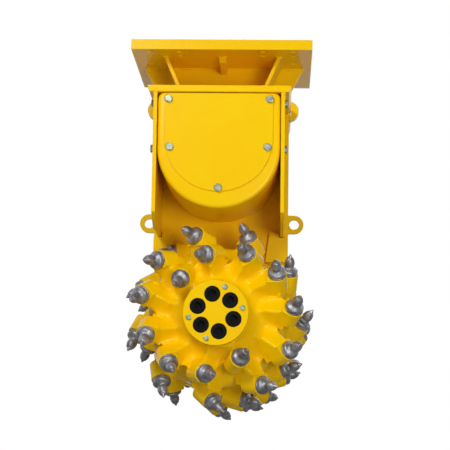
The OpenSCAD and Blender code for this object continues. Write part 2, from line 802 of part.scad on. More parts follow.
module nose_pick(angle) color(steel) pick_place(0, angle) {
    pick_body();
    pick_tip();
}
module nose_pick_front_a() nose_pick(start_a_angles[0]);
module nose_pick_front_b() nose_pick(start_b_angles[0]);
module nose_pick_rear_a() mirror([0, 1, 0]) nose_pick(start_a_angles[0]);
module nose_pick_rear_b() mirror([0, 1, 0]) nose_pick(start_b_angles[0]);

// Oil ports on the roof, their caps, plugs and lugs
module port_places() right_and_left() translate([port_x, port_y, roof_top_z]) children();

module port_fittings() color(steel) port_places() {
    cylinder(h = port_base_h, r = port_base_r, $fn = 6);
    cylinder(h = port_h, r = port_r);
}

module port_caps() color(paint) port_places() difference() {
    translate([0, 0, port_h - port_cap_h + air_gap * 2]) cylinder(h = port_cap_h, r = port_r + air_gap * 2);
    cylinder(h = port_h, r = port_r + seat_gap);
}

module oil_plugs() color(steel) {
    translate([0, case_y + rear_cover_t, motor_z]) rotate([-quarter_turn, 0, 0]) hex_plug();
    for (sy = [-1, 1]) translate([0, sy * case_y, drum_z - (seal_r + seal_wall + case_foot_r) / 2])
        rotate([-sy * quarter_turn, 0, 0]) hex_plug();
}
module hex_plug() cylinder(h = plug_h, r = plug_r, $fn = 6);

module lifting_lug() color(paint) along_y(lug_y - lug_t / 2, lug_y + lug_t / 2) difference() {
    union() {
        translate([lug_x, -lug_drop]) circle(lug_r);
        plane_box(case_x, -lug_drop - lug_r, lug_x, -lug_drop + lug_r);
    }
    translate([lug_x, -lug_drop]) circle(d = lug_hole_d);
    plane_box(0, -lug_drop - 2 * lug_r, case_x, -lug_drop + 2 * lug_r);
}
module lifting_lug_right() lifting_lug();
module lifting_lug_left() mirror([1, 0, 0]) lifting_lug();

adapter_plate();
bracket_web();
bracket_gussets_left();
bracket_gussets_right();
bracket_centre_ribs();
bracket_ears();
roof_plate();
guard_left();
guard_right();
guard_bolts();
rear_guard_left();
rear_guard_right();
motor_casing();
motor_cover();
motor_cover_gasket();
motor_cover_bolts();
rear_cover();
rear_cover_bolts();
gear_case_front();
gear_case_rear();
wear_plates();
case_shields();
hydraulic_motor();
motor_shaft();
drive_pinion();
pinion_bearings();
idler_gear();
idler_axle();
idler_bearing();
idler_caps();
drum_gear();
drum_shaft();
drum_bearings();
drum_seals();
drum_shell_front();
drum_shell_rear();
pick_holders_front();
pick_holders_rear();
picks_front();
picks_rear();
pick_tips_front();
pick_tips_rear();
nose_pick_front_a();
nose_pick_front_b();
nose_pick_rear_a();
nose_pick_rear_b();
end_plate_front();
end_plate_rear();
clamp_screws();
end_plate_screws();
port_fittings();
port_caps();
oil_plugs();
lifting_lug_left();
lifting_lug_right();
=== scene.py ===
import json
import math

import bmesh
import bpy
from mathutils import Matrix, Vector


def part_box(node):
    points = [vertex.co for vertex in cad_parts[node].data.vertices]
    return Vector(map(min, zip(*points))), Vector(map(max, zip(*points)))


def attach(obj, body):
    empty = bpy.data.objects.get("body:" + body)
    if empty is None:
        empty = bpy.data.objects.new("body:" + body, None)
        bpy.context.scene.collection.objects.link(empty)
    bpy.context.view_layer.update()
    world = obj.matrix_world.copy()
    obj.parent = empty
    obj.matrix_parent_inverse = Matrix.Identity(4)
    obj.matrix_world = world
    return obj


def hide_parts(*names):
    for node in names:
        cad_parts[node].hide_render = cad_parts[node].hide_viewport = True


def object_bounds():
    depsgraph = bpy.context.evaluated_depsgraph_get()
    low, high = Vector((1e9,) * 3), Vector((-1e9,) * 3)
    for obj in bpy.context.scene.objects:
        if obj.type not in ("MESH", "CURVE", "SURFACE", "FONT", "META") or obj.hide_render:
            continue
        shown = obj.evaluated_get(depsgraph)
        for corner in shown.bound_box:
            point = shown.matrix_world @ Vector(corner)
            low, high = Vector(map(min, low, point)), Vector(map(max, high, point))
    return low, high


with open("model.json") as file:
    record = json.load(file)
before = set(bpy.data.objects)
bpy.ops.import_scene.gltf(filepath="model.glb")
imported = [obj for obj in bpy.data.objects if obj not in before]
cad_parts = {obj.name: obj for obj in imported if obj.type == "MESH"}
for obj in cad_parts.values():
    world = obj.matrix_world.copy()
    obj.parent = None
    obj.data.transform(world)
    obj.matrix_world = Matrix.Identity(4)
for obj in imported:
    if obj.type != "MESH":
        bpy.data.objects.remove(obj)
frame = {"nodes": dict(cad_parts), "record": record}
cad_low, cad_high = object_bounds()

# A hydraulic drum cutter for an excavator. Shapes are worked out in millimetres
# and placed in metres: +Z up out of the adapter plate, -Y towards the motor.
MM = 0.001
NODES = frame["nodes"]
FRONT, REAR = -1, 1
LEFT, RIGHT = -1, 1


def low(node):
    """A node's lowest corner in millimetres."""
    return Vector(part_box(node)[0]) / MM


def high(node):
    """A node's highest corner in millimetres."""
    return Vector(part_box(node)[1]) / MM


# Places read from the frame, in millimetres
PLATE_LOW_Z = low("adapter_plate").z
ROOF_TOP_Z = high("roof_plate").z
ROOF_LOW_Z = low("roof_plate").z
ROOF_FRONT_Y = low("roof_plate").y
CASE_X = high("gear_case_front").x
CASE_Y = low("rear_cover").y
WEB_Y = high("bracket_web").y
WEB_X = high("bracket_web").x
GUARD_X = high("guard_right").x
CASING_R = high("motor_casing").x
CASING_FRONT_Y = low("motor_casing").y
MOTOR_Z = low("motor_casing").z + CASING_R
DRUM_Z = (low("end_plate_front").z + high("end_plate_front").z) / 2
HUB_REACH = -low("end_plate_front").y
PLATE_IN_Y = -high("end_plate_front").y
DRUM_IN_Y = -high("drum_shell_front").y
BODY_R = (high("drum_shell_front").x - low("drum_shell_front").x) / 2

# The drum's form, as steps from the end plate, the body and the drum's inner end
NECK_STEP, NOSE_STEP, TIP_STEP = 3, 53, 88
NOSE_STAND, INNER_STAND = 25, 52
DISH_SHARE = 0.495
NECK_R = high("end_plate_front").x + NECK_STEP
NOSE_R = NECK_R + NOSE_STEP
TIP_R = BODY_R + TIP_STEP
TIP_REACH = HUB_REACH + NOSE_STAND
INNER_PICK_Y = DRUM_IN_Y + INNER_STAND
DISH_Y = DRUM_IN_Y + DISH_SHARE * (PLATE_IN_Y - DRUM_IN_Y)

# The spiral of picks from the nose inwards, as in the part: radii are shares of
# the way from the nose circle to the outer circle, reaches are shares of the
# way from the innermost points to the nose points, and the rest are degrees
ROW_R_SHARES = [0, 0.26, 0.46, 0.62, 0.76, 0.86, 0.934, 0.988, 1, 1, 1, 1]
ROW_Y_SHARES = [1, 0.987, 0.969, 0.945, 0.9, 0.829, 0.7275, 0.6, 0.457, 0.307, 0.153, 0]
ROW_OUT = [0, 12, 25, 36, 44, 48, 49, 48, 47, 47, 46, 44]
ROW_END = [62, 58, 57, 55, 53, 48, 41, 35, 31, 27, 20, 8]
ROW_FACE = [70, 60, 52, 46, 38, 30, 22, 14, 8, 4, 0, 0]
START_A = [147, 110.5, 72.3, 42, 11.9, -18.7, -48.9, -84.8, -122.6, -159.2, -192.6,
           -225.9]
START_B = [310.9, 270.6, 235.5, 204.6, 172.6, 144.4, 112.8, 76.6, 41.1, 5.4, -27.3, -61.8]

# One pick and its holder: the gauge is from the point to the flange's seat
GAUGE = 75
SHANK_R = 15
HOLDER_R = 34
HOLDER_END = 163
WINDOW_START = 139
FOOT_DEPTH = 90

# The motor casing's rounded upper corners and front edge
CASING_CORNER_R, CASING_EDGE_R = 24, 13

# Where the bolts sit, their washers, and the degrees from one head's turn to the next
COVER_BOLT_MARGIN, COVER_BOLT_DROP = 12, 20
MID_BOLT_X_SHARE, MID_BOLT_Z_SHARE = 0.965, 0.19
GUARD_BOLT_INSET, GUARD_BOLT_DROP, GUARD_BOLT_PITCH = 40, 57, 159
HATCH_BOLTS, HATCH_BOLT_INSET = 8, 24
HUB_SCREW_R = 91.5
HUB_SCREW_ANGLES = (10.7, 70.7, 190.7, 250.7)
WASHER_T = 2
HEAD_TURN = 17

# Weld beads by radius, the ripple along them, and the gussets' thickness
STRONG_BEAD, PLAIN_BEAD, FINE_BEAD = 6, 5, 4
BEAD_STEP = 5.0
RIPPLE_SHARE, RIPPLE_TURN = 0.14, 2.1
GUSSET_T = 14

# The camera solved from the photograph: pixels, degrees of yaw, pitch and roll, and metres
PHOTO_PX, FOCAL_PX = 450, 1686.9
CAMERA_ANGLES = (-1.974, 8.352, 0.819)
CAMERA_PLACE = (0.2203, -6.0912, -1.5122)
SENSOR_MM = 36

# The studio in metres: lamps by name, place, size and watts
LAMPS = [
    ("key", (-1.4, -4.0, 1.3), 1.3, 84),
    ("fill", (1.5, -4.4, -1.0), 1.3, 60),
    ("rim", (1.2, 3.2, 1.4), 2.0, 34),
]
LAMP_AIM = Vector((0, 0, -0.65))
FLOOR_SIZE, FLOOR_DROP = 14, 0.3


# Colours and materials

def linear(hex_colour):
    """An sRGB hex value as linear RGBA."""
    parts = [int(hex_colour[i:i + 2], 16) / 255 for i in (1, 3, 5)]
    return [p / 12.92 if p <= 0.04045 else ((p + 0.055) / 1.055) ** 2.4
            for p in parts] + [1.0]


def add(tree, kind, settings=None, links=None):
    """A node with its sockets set and its inputs linked."""
    node = tree.nodes.new(kind)
    for name, value in (settings or {}).items():
        node.inputs[name].default_value = value
    for name, source in (links or {}).items():
        tree.links.new(source, node.inputs[name])
    return node


def new_material(name):
    """An empty material, its node tree and its Object coordinates."""
    material = bpy.data.materials.new(name)
    material.use_nodes = True
    tree = material.node_tree
    tree.nodes.clear()
    where = add(tree, "ShaderNodeTexCoord").outputs["Object"]
    return material, tree, where


def close_material(tree, shader):
    """Ends a material in its shader."""
    add(tree, "ShaderNodeOutputMaterial", links={"Surface": shader.outputs[0]})


def ramp(tree, factor, stops):
    """A colour ramp through the given (position, hex) stops."""
    node = add(tree, "ShaderNodeValToRGB", links={"Fac": factor})
    while len(node.color_ramp.elements) < len(stops):
        node.color_ramp.elements.new(1.0)
    for element, (position, colour) in zip(node.color_ramp.elements, stops):
        element.position = position
        element.color = linear(colour)
    return node.outputs["Color"]


def yellow_enamel(name="yellow_enamel", grain=0.12, grain_mm=3.5):
    """Enamel sprayed on steel: deep gloss with a fine orange peel and slight tone drift."""
    drift_mm, relief_mm = 180, 0.4
    material, tree, where = new_material(name)
    drift = add(tree, "ShaderNodeTexNoise", {"Scale": 1 / (drift_mm * MM), "Detail": 3.0},
                {"Vector": where})
    tone = ramp(tree, drift.outputs["Fac"], [(0.3, "#FFCA00"), (0.7, "#FFD200")])
    peel = add(tree, "ShaderNodeTexNoise", {"Scale": 1 / (grain_mm * MM), "Detail": 2.0},
               {"Vector": where})
    bump = add(tree, "ShaderNodeBump", {"Strength": grain, "Distance": relief_mm * MM},
               {"Height": peel.outputs["Fac"]})
    shader = add(tree, "ShaderNodeBsdfPrincipled",
                 {"Roughness": 0.25, "IOR": 1.45, "Specular IOR Level": 0.2},
                 {"Base Color": tone, "Normal": bump.outputs["Normal"]})
    close_material(tree, shader)
    return material


def forged_steel():
    """Hardened pick steel, forged and shot-blasted: grey with soft clouds and a dull shine."""
    # The blasting's pits are really finer: they are drawn this coarse to show at all
    cloud_mm, pit_mm, relief_mm = 22, 1.6, 0.3
    material, tree, where = new_material("forged_steel")
    cloud = add(tree, "ShaderNodeTexNoise", {"Scale": 1 / (cloud_mm * MM), "Detail": 5.0},
                {"Vector": where})
    tone = ramp(tree, cloud.outputs["Fac"], [(0.35, "#77777C"), (0.65, "#AEAEB2")])
    pits = add(tree, "ShaderNodeTexNoise", {"Scale": 1 / (pit_mm * MM), "Detail": 3.0},
               {"Vector": where})
    bump = add(tree, "ShaderNodeBump", {"Strength": 0.35, "Distance": relief_mm * MM},
               {"Height": pits.outputs["Fac"]})
    shader = add(tree, "ShaderNodeBsdfPrincipled", {"Metallic": 0.75, "Roughness": 0.45},
                 {"Base Color": tone, "Normal": bump.outputs["Normal"]})
    close_material(tree, shader)
    return material


def fine_grained(name, dark, light, rough, metallic=1.0, cloud_mm=15, bump_mm=0.1, shine=0.5):
    """Turned, plated, cast or moulded: a faint cloudiness and a fine grain."""
    # The tool marks are really finer: they are drawn this coarse to show at all
    grain_mm = 1.2
    material, tree, where = new_material(name)
    cloud = add(tree, "ShaderNodeTexNoise", {"Scale": 1 / (cloud_mm * MM), "Detail": 4.0},
                {"Vector": where})
    tone = ramp(tree, cloud.outputs["Fac"], [(0.35, dark), (0.65, light)])
    grain = add(tree, "ShaderNodeTexNoise", {"Scale": 1 / (grain_mm * MM), "Detail": 2.0},
                {"Vector": where})
    bump = add(tree, "ShaderNodeBump", {"Strength": 0.2, "Distance": bump_mm * MM},
               {"Height": grain.outputs["Fac"]})
    shader = add(tree, "ShaderNodeBsdfPrincipled",
                 {"Metallic": metallic, "Roughness": rough, "Specular IOR Level": shine},
                 {"Base Color": tone, "Normal": bump.outputs["Normal"]})
    close_material(tree, shader)
    return material


MATERIALS = {
    # Enamel over rolled plate, over the sand-cast drums with their coarser skin, and over welds
    "yellow_enamel": yellow_enamel(),
    "cast_enamel": yellow_enamel("cast_enamel", 0.35, 9),
    "weld_enamel": yellow_enamel("weld_enamel", 0.3, 2.5),
    "forged_steel": forged_steel(),
    # Plated bolts: pale, satin, with a slight green cast
    "zinc_plated_steel": fine_grained("zinc_plated_steel", "#8C9A88", "#C2CCBA", 0.36),
    # Turned and ground steel: bright and neutral
    "machined_steel": fine_grained("machined_steel", "#8F9194", "#B4B6B8", 0.32),
    # Sintered carbide points: warm grey and a little dull
    "tungsten_carbide": fine_grained("tungsten_carbide", "#9A9192", "#BDB4B2", 0.42),
    # Blackened socket screws: near black with almost no shine
    "black_oxide_steel": fine_grained("black_oxide_steel", "#040404", "#0B0B0B", 0.4,
                                      metallic=0.0, shine=0.12),
    # The motor's raw casting: dark, rough and mottled
    "cast_iron": fine_grained("cast_iron", "#3A3B3C", "#55565A", 0.6,
                              metallic=0.8, cloud_mm=8, bump_mm=0.5),
    # Moulded seals and gasket: black and matt
    "nitrile_rubber": fine_grained("nitrile_rubber", "#111111", "#1C1C1C", 0.6, metallic=0.0),
}


# Camera, light and floor

def make_camera():
    data = bpy.data.cameras.new("camera")
    camera = bpy.data.objects.new("camera", data)
    bpy.context.scene.collection.objects.link(camera)
    bpy.context.scene.camera = camera
    data.sensor_width = SENSOR_MM
    data.lens = SENSOR_MM * FOCAL_PX / PHOTO_PX
    data.clip_end = 100
    yaw, pitch, roll = (math.radians(a) for a in CAMERA_ANGLES)
    level = math.cos(pitch)
    ahead = Vector((math.sin(yaw) * level, math.cos(yaw) * level, math.sin(pitch)))
    side = Vector((math.cos(yaw), -math.sin(yaw), 0))
    up = side.cross(ahead)
    right = side * math.cos(roll) + up * math.sin(roll)
    up = up * math.cos(roll) - side * math.sin(roll)
    facing = Matrix((right, up, -ahead)).transposed()
    camera.matrix_world = Matrix.Translation(CAMERA_PLACE) @ facing.to_4x4()


def make_world():
    """White to the camera, a soft light, and a reflected backdrop that darkens to the front."""
    world = bpy.data.worlds.new("studio")
    bpy.context.scene.world = world
    world.use_nodes = True
    tree = world.node_tree
    tree.nodes.clear()
    path = add(tree, "ShaderNodeLightPath")
    where = add(tree, "ShaderNodeTexCoord").outputs["Generated"]
    depth = add(tree, "ShaderNodeSeparateXYZ", links={0: where}).outputs["Y"]
    backdrop = add(tree, "ShaderNodeMapRange",
                   {"From Min": -0.25, "From Max": 0.3, "To Min": 0.12, "To Max": 1.0},
                   {"Value": depth})
    soft = add(tree, "ShaderNodeBackground", {"Color": linear("#F6F6F8"), "Strength": 0.22})
    room = add(tree, "ShaderNodeBackground", {"Color": linear("#FFFFFF")},
               {"Strength": backdrop.outputs[0]})
    white = add(tree, "ShaderNodeBackground", {"Color": linear("#FFFFFF"), "Strength": 1.0})
    mirrored = add(tree, "ShaderNodeMixShader",
                   links={0: path.outputs["Is Glossy Ray"], 1: soft.outputs[0],
                          2: room.outputs[0]})
    mix = add(tree, "ShaderNodeMixShader",
              links={0: path.outputs["Is Camera Ray"], 1: mirrored.outputs[0],
                     2: white.outputs[0]})
    add(tree, "ShaderNodeOutputWorld", links={"Surface": mix.outputs[0]})


def make_floor():
    """A pale matt floor that glows to white for the camera and keeps the shadow."""
    bpy.ops.mesh.primitive_plane_add(size=FLOOR_SIZE, location=(0, 0, cad_low.z - FLOOR_DROP))
    floor = bpy.context.object
    floor.name = "floor"
    material, tree, _ = new_material("pale_floor")
    path = add(tree, "ShaderNodeLightPath")
    matt = add(tree, "ShaderNodeBsdfDiffuse", {"Color": linear("#BEBEBC")})
    glow = add(tree, "ShaderNodeEmission", {"Color": linear("#FFFFFF"), "Strength": 0.62})
    both = add(tree, "ShaderNodeAddShader", links={0: matt.outputs[0], 1: glow.outputs[0]})
    mix = add(tree, "ShaderNodeMixShader",
              links={0: path.outputs["Is Camera Ray"], 1: matt.outputs[0], 2: both.outputs[0]})
    close_material(tree, mix)
    floor.data.materials.append(material)


def make_lamps():
    for name, place, size, power in LAMPS:
        data = bpy.data.lights.new(name, "AREA")
        data.shape = "DISK"
        data.size = size
        data.energy = power
        lamp = bpy.data.objects.new(name, data)
        bpy.context.scene.collection.objects.link(lamp)
        lamp.location = place
        aim = LAMP_AIM - lamp.location
        lamp.rotation_euler = aim.to_track_quat("-Z", "Y").to_euler()


# Pieces made here, in millimetres until they are finished

def new_piece(name, bm, material, body, stands_for=(), sharp=35):
    """Makes a piece of the object from a finished shape in millimetres."""
    bmesh.ops.recalc_face_normals(bm, faces=bm.faces)
    bmesh.ops.scale(bm, vec=(MM, MM, MM), verts=bm.verts)
    mesh = bpy.data.meshes.new(name)
    bm.to_mesh(mesh)
    bm.free()
    for face in mesh.polygons:
        face.use_smooth = True
    mesh.set_sharp_from_angle(angle=math.radians(sharp))
    mesh.materials.append(MATERIALS[material])
    piece = bpy.data.objects.new(name, mesh)
    bpy.context.scene.collection.objects.link(piece)
    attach(piece, body)
    if stands_for:
        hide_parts(*stands_for)
    return piece


def as_stamp(bm):
    """A scratch mesh of one shape, for stamping wherever the shape repeats."""
    bmesh.ops.remove_doubles(bm, verts=bm.verts, dist=0.01)
    bmesh.ops.recalc_face_normals(bm, faces=bm.faces)
    mesh = bpy.data.meshes.new("stamp")
    bm.to_mesh(mesh)
    bm.free()
    return mesh


def stamp(bm, mesh, place):
    """Adds a stamp's shape at a place."""
    first = len(bm.verts)
    bm.from_mesh(mesh)
    bm.verts.ensure_lookup_table()
    bmesh.ops.transform(bm, matrix=place, verts=bm.verts[first:])


def spin(bm, profile, segments):
    """Turns (radius, height) points about Z into a wall."""
    verts = [bm.verts.new((r, 0, z)) for r, z in profile]
    edges = [bm.edges.new(pair) for pair in zip(verts, verts[1:])]
    bmesh.ops.spin(bm, geom=verts + edges, axis=(0, 0, 1), cent=(0, 0, 0), steps=segments,
                   angle=math.radians(360), use_merge=True)


def turned(profile, segments):
    """A turned part as a stamp."""
    bm = bmesh.new()
    spin(bm, profile, segments)
    return as_stamp(bm)


def turn(axis, degrees):
    return Matrix.Rotation(math.radians(degrees), 4, axis)


def move(x, y, z):
    return Matrix.Translation((x, y, z))


def pick_frame(row, angle, end):
    """A pick's frame: its point at the origin, its shank down Z, its holder's foot along X."""
    out, along, face = (math.radians(table[row]) for table in (ROW_OUT, ROW_END, ROW_FACE))
    foot = math.atan2(math.cos(face) * math.cos(out),
                      math.sin(face) * math.cos(along)
                      - math.cos(face) * math.sin(along) * math.sin(out))
    point_r = NOSE_R + (TIP_R - NOSE_R) * ROW_R_SHARES[row]
    point_y = INNER_PICK_Y + (TIP_REACH - INNER_PICK_Y) * ROW_Y_SHARES[row]
    place = (move(0, 0, DRUM_Z) @ turn("X", 90) @ turn("Z", angle) @ move(point_r, 0, point_y)
             @ turn("Z", 90 - ROW_OUT[row]) @ turn("Y", 90 - ROW_END[row])
             @ Matrix.Rotation(foot, 4, "Z"))
    return place if end == FRONT else Matrix.Scale(-1, 4, (0, 1, 0)) @ place


def pick_frames(end, first_row=0):
    """The frames of both spirals' picks at one end, from a row inwards."""
    return [pick_frame(row, start[row], end)
            for row in range(first_row, len(ROW_OUT)) for start in (START_A, START_B)]


# Drums

# A pick's steel from under its point to its shank's end, and its carbide point
PICK_STEEL = [(0, -12), (9, -12), (10.8, -12.8), (12.6, -15.5), (15.3, -21.5), (17.2, -28),
              (17.9, -33), (17.6, -37), (16.4, -41), (15.8, -44), (16.4, -46.6), (18.6, -49.4),
              (22.4, -52), (26.6, -54.4), (29.6, -57), (30.9, -59.6), (31, -62), (31, -66),
              (29.6, -67.4), (29.6, -68.6), (31, -70), (31, -74), (30, -GAUGE), (SHANK_R, -GAUGE),
              (SHANK_R, -151), (13, -153), (0, -153)]
PICK_POINT = [(0, 0), (1.6, -0.5), (3.2, -2.2), (4.6, -5), (6.2, -8.4), (7.9, -11.4),
              (8.9, -13.4), (0, -13.6)]
# Rows of a holder's block: radius in the bore or share of the block's outline, and height
HOLDER_BLOCK = [(SHANK_R, -GAUGE), (0.965, -GAUGE), (1, -76.2), (1, -137.8),
                (0.965, -WINDOW_START), (20, -WINDOW_START), (20, -128), (SHANK_R, -128),
                (SHANK_R, -GAUGE)]
HOLDER_FLOOR = [(SHANK_R + 1, -136), (1, -136), (1, 1.2 - HOLDER_END), (0.965, -HOLDER_END),
                (SHANK_R + 1, -HOLDER_END), (SHANK_R + 1, -136)]


def horseshoe(rows, first, last, steps):
    """A block round a bore: half round outside, with flat sides and corners to the drum."""
    bm = bmesh.new()
    rings = []
    for size, z in rows:
        ring = []
        for i in range(steps + 1):
            a = math.radians(first + (last - first) * i / steps)
            square = max(abs(math.cos(a)), abs(math.sin(a)))
            reach = HOLDER_R / square if math.cos(a) > 0 else HOLDER_R
            radius = size if size > 1 else size * reach
            ring.append(bm.verts.new((radius * math.cos(a), radius * math.sin(a), z)))
        rings.append(ring)
    for below, above in zip(rings, rings[1:]):
        for i in range(steps):
            bm.faces.new((below[i], below[i + 1], above[i + 1], above[i]))
    if last - first < 360:
        for i in (0, -1):
            bm.faces.new([ring[i] for ring in rings[:-1]])
    return as_stamp(bm)


def foot_stamp():
    """The mass under a holder, which the fillets join to the drum: a boss and a sloped foot."""
    boss_r, boss_top, boss_low = HOLDER_R - 0.8, -79.5, -126
    front_x, slope_low, foot_low, step_z = 28, -116, 1 - HOLDER_END, -128
    narrow, wide = 32.4, 36
    bm = bmesh.new()
    spin(bm, [(0, boss_top), (boss_r, boss_top), (boss_r, boss_low), (0, boss_low)], 32)
    outline = [(14, boss_top), (front_x, boss_top), (FOOT_DEPTH, slope_low),
               (FOOT_DEPTH, foot_low), (16, foot_low), (16, step_z)]
    face = bm.faces.new([bm.verts.new((x, -(narrow if x <= front_x else wide), z))
                         for x, z in outline])
    grown = bmesh.ops.extrude_face_region(bm, geom=[face])
    for vert in grown["geom"]:
        if isinstance(vert, bmesh.types.BMVert):
            vert.co.y = -vert.co.y
    return as_stamp(bm)


def bake_modifiers(piece, *steps):
    """Adds modifiers in order and keeps only their result."""
    for number, (kind, settings) in enumerate(steps):
        modifier = piece.modifiers.new("step%d" % number, kind)
        for name, value in settings.items():
            setattr(modifier, name, value)
    graph = bpy.context.evaluated_depsgraph_get()
    result = bpy.data.meshes.new_from_object(piece.evaluated_get(graph))
    piece.modifiers.clear()
    piece.data = result
    for face in result.polygons:
        face.use_smooth = True


def drum_body(end, foot):
    """A drum cast in one: the dished body and the holders' feet, run together by fillets."""
    steps, around = 16, 96
    fillet, voxel = 14 * MM, 4.5 * MM
    dish = [(NECK_R + (BODY_R - NECK_R) * (1 - math.cos(math.pi * i / steps)) / 2,
             PLATE_IN_Y + (DISH_Y - PLATE_IN_Y) * i / steps) for i in range(steps + 1)]
    bm = bmesh.new()
    spin(bm, [(0, PLATE_IN_Y)] + dish + [(BODY_R, DRUM_IN_Y), (0, DRUM_IN_Y)], around)
    bmesh.ops.transform(bm, matrix=move(0, 0, DRUM_Z) @ turn("X", 90 * -end), verts=bm.verts)
    for place in pick_frames(end):
        stamp(bm, foot, place)
    name = "front" if end == FRONT else "rear"
    piece = new_piece("drum_body_" + name, bm, "cast_enamel", "drum",
                      ["drum_shell_" + name])
    remesh = ("REMESH", {"mode": "VOXEL", "voxel_size": voxel, "adaptivity": 0.0})
    bake_modifiers(piece, remesh,
                   ("DISPLACE", {"strength": fillet, "mid_level": 0.0}), remesh,
                   ("DISPLACE", {"strength": -fillet, "mid_level": 0.0}), remesh,
                   ("SMOOTH", {"factor": 0.5, "iterations": 5}))
    piece.data.materials.clear()
    piece.data.materials.append(MATERIALS["cast_enamel"])


def drum_fittings(end, steel, point, block, floor):
    """The holders, picks and points of one drum, its nose picks each on a body of their own."""
    name = "front" if end == FRONT else "rear"
    holders = bmesh.new()
    for place in pick_frames(end):
        stamp(holders, block, place)
        stamp(holders, floor, place)
    new_piece("holders_" + name, holders, "yellow_enamel", "drum",
              ["pick_holders_" + name])
    picks = bmesh.new()
    points = bmesh.new()
    for place in pick_frames(end, 1):
        stamp(picks, steel, place)
        stamp(points, point, place)
    new_piece("pick_bodies_" + name, picks, "forged_steel", "drum",
              ["picks_" + name])
    new_piece("pick_points_" + name, points, "tungsten_carbide", "drum",
              ["pick_tips_" + name])
    for letter, start in (("a", START_A), ("b", START_B)):
        node = "nose_pick_%s_%s" % (name, letter)
        place = pick_frame(0, start[0], end)
        body = bmesh.new()
        stamp(body, steel, place)
        new_piece(node + "_steel", body, "forged_steel", node, [node])
        tip = bmesh.new()
        stamp(tip, point, place)
        new_piece(node + "_point", tip, "tungsten_carbide", node)


def make_drums():
    foot = foot_stamp()
    stamps = [turned(profile, 36) for profile in (PICK_STEEL, PICK_POINT)]
    stamps += [horseshoe(HOLDER_BLOCK, -180, 180, 48), horseshoe(HOLDER_FLOOR, -90, 90, 24)]
    for end in (FRONT, REAR):
        drum_body(end, foot)
        drum_fittings(end, *stamps)


# Motor casing

def dee_outline(r, centre_z, top_z, corner):
    """A D on its back: half round below, straight sides, rounded upper corners."""
    steps, corner_steps = 48, 6
    arc = [math.pi + math.pi * i / steps for i in range(steps + 1)]
    points = [(r * math.cos(a), centre_z + r * math.sin(a)) for a in arc]
    for side, begin in ((RIGHT, 0), (LEFT, math.pi / 2)):
        turns = [begin + math.pi / 2 * i / corner_steps for i in range(corner_steps + 1)]
        points += [(side * (r - corner) + corner * math.cos(a),
                    top_z - corner + corner * math.sin(a)) for a in turns]
    return points


def dee_block(bm, outline, front_y, back_y, edge_r):
    """A block with the given outline and a rounded front edge."""
    face = bm.faces.new([bm.verts.new((x, front_y, z)) for x, z in outline])
    rim = list(face.edges)
    grown = bmesh.ops.extrude_face_region(bm, geom=[face], use_keep_orig=True)
    verts = [v for v in grown["geom"] if isinstance(v, bmesh.types.BMVert)]
    bmesh.ops.translate(bm, vec=(0, back_y - front_y, 0), verts=verts)
    bmesh.ops.bevel(bm, geom=rim, offset=edge_r, offset_type="OFFSET", segments=5,
                    profile=0.5, affect="EDGES", material=-1)


def make_casing():
    bm = bmesh.new()
    outline = dee_outline(CASING_R, MOTOR_Z, ROOF_LOW_Z, CASING_CORNER_R)
    dee_block(bm, outline, CASING_FRONT_Y, -CASE_Y, CASING_EDGE_R)
    new_piece("motor_casing_shell", bm, "yellow_enamel", "root", ["motor_casing"])


# Bolts

def hex_head(af, height):
    """A hexagon head with its corners taken off, standing on z = 0."""
    bm = bmesh.new()
    radius = af / 2 / math.cos(math.pi / 6)
    bmesh.ops.create_cone(bm, cap_ends=True, segments=6, radius1=radius, radius2=radius,
                          depth=height)
    bmesh.ops.translate(bm, vec=(0, 0, height / 2), verts=bm.verts)
    rim = [e for e in bm.edges if all(v.co.z > height - 0.1 for v in e.verts)]
    bmesh.ops.bevel(bm, geom=rim, offset=af * 0.07, offset_type="OFFSET", segments=2,
                    profile=0.5, affect="EDGES", material=-1)
    return as_stamp(bm)


def washer(outer, inner):
    """A flat washer with a chamfered rim."""
    chamfer = WASHER_T * 0.3
    return turned([(inner, 0), (outer, 0), (outer, WASHER_T - chamfer),
                   (outer - chamfer, WASHER_T), (inner, WASHER_T), (inner, 0)], 40)


def bolts(name, node, places, body, af=24, height=10, shank_r=8):
    """Zinc-plated hexagon bolts on washers, in place of a node."""
    head, ring = hex_head(af, height - WASHER_T), washer(af * 0.57, shank_r)
    stub_r, stub_len = shank_r - 0.2, 8
    stub = turned([(0, -stub_len), (stub_r, -stub_len), (stub_r, WASHER_T), (0, WASHER_T)], 24)
    bm = bmesh.new()
    for number, place in enumerate(places):
        stamp(bm, ring, place)
        stamp(bm, stub, place)
        stamp(bm, head, place @ move(0, 0, WASHER_T) @ turn("Z", HEAD_TURN * number))
    new_piece(name, bm, "zinc_plated_steel", body, [node], sharp=18)


